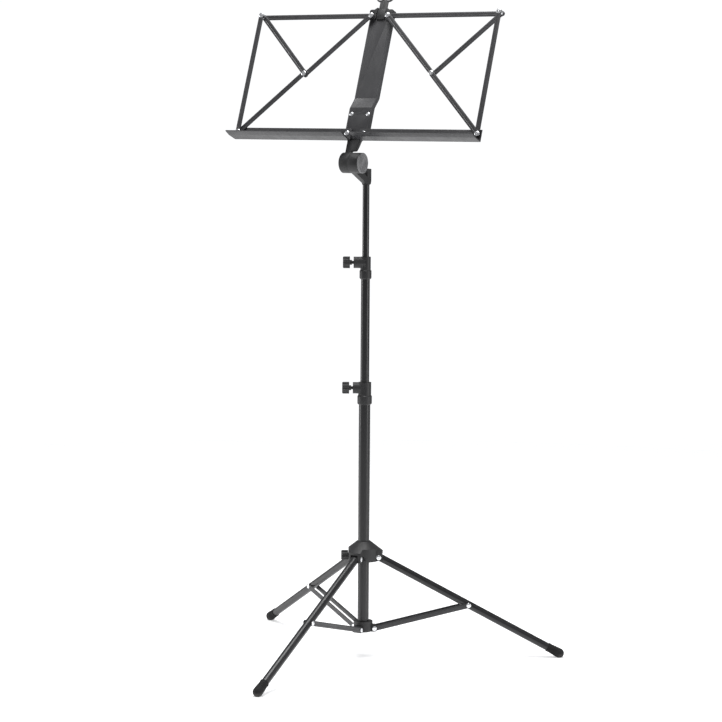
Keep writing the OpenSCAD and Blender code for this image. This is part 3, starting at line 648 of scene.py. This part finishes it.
# CAD nodes that stay as they are take their finish
for node, piece in NODES.items():
    if not piece.hide_render:
        if not piece.material_slots:
            piece.data.materials.append(FINISHES[slot_of(node)])
        for holder in piece.material_slots:
            holder.material = FINISHES[slot_of(node)]

# ------------------------------------------------------------ studio
ROOM_LIGHT = 0.32
BACKDROP = 1.04
floor_shape = bmesh.new()
bmesh.ops.create_circle(floor_shape, cap_ends=True, segments=96, radius=6.0)
floor_mesh = bpy.data.meshes.new("studio_floor")
floor_shape.to_mesh(floor_mesh)
floor_shape.free()
floor = bpy.data.objects.new("studio_floor", floor_mesh)
bpy.context.scene.collection.objects.link(floor)
floor.location.z = -0.2 * MM
paper = Finish("white studio paper")
reach = paper.add("ShaderNodeVectorMath", operation="LENGTH")
paper.join(paper.where, reach.inputs[0])
paper.to(Alpha=paper.ranged(reach.outputs["Value"], 1.1, 3.8, 1.0, 0.0))
paper.shader.inputs["Emission Strength"].default_value = 0.42
paper.shader.inputs["Emission Color"].default_value = (0.985, 0.99, 1.0, 1)
tone = paper.ranged(paper.noise(2.2, 3), 0.3, 0.7, 0, 1)
paper.to(Base_Color=paper.blend(tone, (0.90, 0.90, 0.905), (0.92, 0.92, 0.925)))
paper.to(Roughness=paper.ranged(paper.noise(9, 3), 0.3, 0.7, 0.38, 0.46))
paper.to(Normal=paper.bump(paper.noise(240, 3), 0.05 * MM, 0.2))
floor_mesh.materials.append(paper.material)

world = bpy.data.worlds.new("white studio")
bpy.context.scene.world = world
world.use_nodes = True
sky = world.node_tree
sky.nodes["Background"].inputs["Color"].default_value = (0.985, 0.99, 1.0, 1)
seen = sky.nodes.new("ShaderNodeLightPath").outputs["Is Camera Ray"]
glow = sky.nodes.new("ShaderNodeMapRange")
glow.inputs["To Min"].default_value = ROOM_LIGHT
glow.inputs["To Max"].default_value = BACKDROP
sky.links.new(seen, glow.inputs["Value"])
sky.links.new(glow.outputs["Result"], sky.nodes["Background"].inputs["Strength"])


def softbox(name, place, aim, size, power):
    data = bpy.data.lights.new(name, "AREA")
    data.shape = "RECTANGLE"
    data.size, data.size_y = size
    data.energy = power
    lamp = bpy.data.objects.new(name, data)
    bpy.context.scene.collection.objects.link(lamp)
    lamp.location = place
    lamp.rotation_euler = (Vector(aim) - Vector(place)).to_track_quat("-Z", "Y").to_euler()


softbox("left_softbox", (-3.0, -1.2, 1.1), (0, 0, 0.7), (0.8, 2.2), 40)
softbox("right_softbox", (3.2, 0.4, 1.2), (0, 0, 0.7), (0.8, 2.2), 35)
softbox("top_softbox", (0.0, -0.2, 3.4), (0, 0, 0.6), (1.8, 1.8), 110)

lens = bpy.data.cameras.new("camera")
lens.lens = 118.689
lens.shift_y = -0.04
lens.sensor_width = 36
lens.clip_start, lens.clip_end = 0.05, 100
camera = bpy.data.objects.new("camera", lens)
bpy.context.scene.collection.objects.link(camera)
camera.location = (2.2615, -3.9591, 1.0411)
camera.rotation_euler = (
    Matrix.Rotation(math.radians(29.835), 3, "Z")
    @ Matrix.Rotation(math.radians(90 - 5.118), 3, "X")
    @ Matrix.Rotation(math.radians(0.391), 3, "Z")
).to_euler()
bpy.context.scene.camera = camera
bpy.context.scene.view_settings.view_transform = "Standard"
